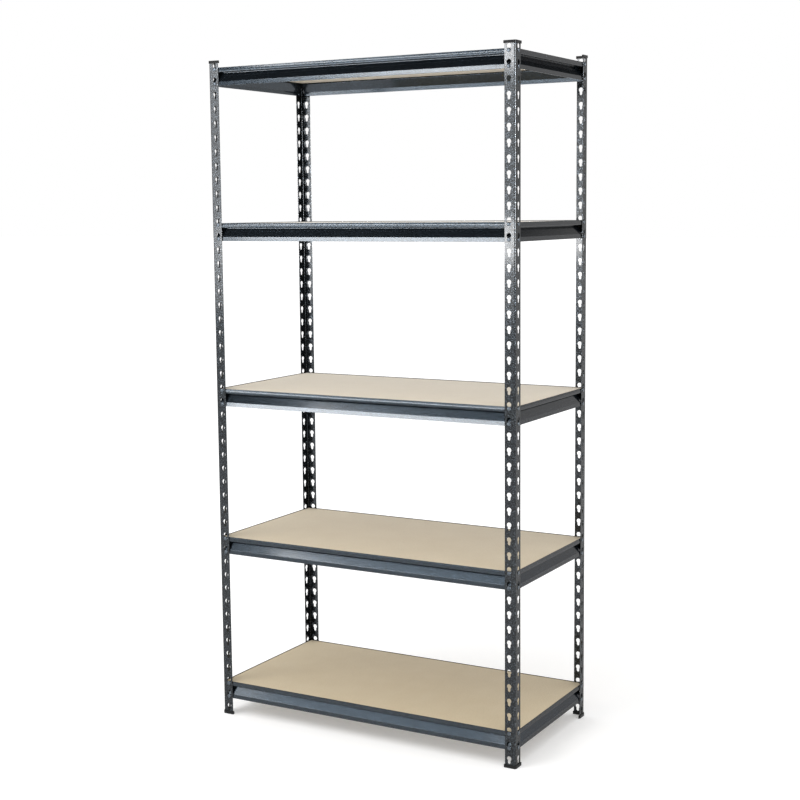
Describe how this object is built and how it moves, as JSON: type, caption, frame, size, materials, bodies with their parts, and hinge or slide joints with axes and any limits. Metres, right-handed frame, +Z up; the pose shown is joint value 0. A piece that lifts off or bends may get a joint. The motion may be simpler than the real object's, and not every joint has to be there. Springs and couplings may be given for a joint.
{
  "type": "boltless steel shelving",
  "caption": "Tall free-standing rivet shelving: keyholed angle posts, roll-formed beams hooked in by rivets, and loose board decks that lift out.",
  "frame": {"origin": "on the floor, under the middle of the shelving", "axes": "+X to the right along the width, +Y to the back, +Z up"},
  "size_m": [0.9184, 0.4612, 1.8288],
  "materials": {
    "post_paint": "glossy hammertone enamel, blue-grey",
    "beam_paint": "glossy hammertone enamel, blue-grey",
    "rivet_steel": "glossy enamel over steel",
    "deck_board": "bare sanded particleboard",
    "black_plastic": "moulded, low sheen"
  },
  "bodies": {
    "frame": {"post_front_left": "post_paint", "post_front_right": "post_paint", "post_back_right": "post_paint", "post_back_left": "post_paint", "foot_front_left": "black_plastic", "foot_front_right": "black_plastic", "foot_back_right": "black_plastic", "foot_back_left": "black_plastic", "cap_front_left": "black_plastic", "cap_front_right": "black_plastic", "cap_back_right": "black_plastic", "cap_back_left": "black_plastic", "level_1_front_beam": "beam_paint", "level_1_right_beam": "beam_paint", "level_1_back_beam": "beam_paint", "level_1_left_beam": "beam_paint", "level_2_front_beam": "beam_paint", "level_2_right_beam": "beam_paint", "level_2_back_beam": "beam_paint", "level_2_left_beam": "beam_paint", "level_3_front_beam": "beam_paint", "level_3_right_beam": "beam_paint", "level_3_back_beam": "beam_paint", "level_3_left_beam": "beam_paint", "level_4_front_beam": "beam_paint", "level_4_right_beam": "beam_paint", "level_4_back_beam": "beam_paint", "level_4_left_beam": "beam_paint", "level_5_front_beam": "beam_paint", "level_5_right_beam": "beam_paint", "level_5_back_beam": "beam_paint", "level_5_left_beam": "beam_paint", "level_1_rivets": "rivet_steel", "level_2_rivets": "rivet_steel", "level_3_rivets": "rivet_steel", "level_4_rivets": "rivet_steel", "level_5_rivets": "rivet_steel"},
    "deck_1": {"level_1_deck": "deck_board"},
    "deck_2": {"level_2_deck": "deck_board"},
    "deck_3": {"level_3_deck": "deck_board"},
    "deck_4": {"level_4_deck": "deck_board"},
    "deck_5": {"level_5_deck": "deck_board"}
  },
  "joints": [
    {"name": "level_1_deck_lift", "type": "slide", "parent": "frame", "child": "deck_1", "axis": [0, 0, 1], "range_m": [0, 0.1]},
    {"name": "level_2_deck_lift", "type": "slide", "parent": "frame", "child": "deck_2", "axis": [0, 0, 1], "range_m": [0, 0.366]},
    {"name": "level_3_deck_lift", "type": "slide", "parent": "frame", "child": "deck_3", "axis": [0, 0, 1], "range_m": [0, 0.404]},
    {"name": "level_4_deck_lift", "type": "slide", "parent": "frame", "child": "deck_4", "axis": [0, 0, 1], "range_m": [0, 0.366]},
    {"name": "level_5_deck_lift", "type": "slide", "parent": "frame", "child": "deck_5", "axis": [0, 0, 1], "range_m": [0, 0.366]}
  ]
}
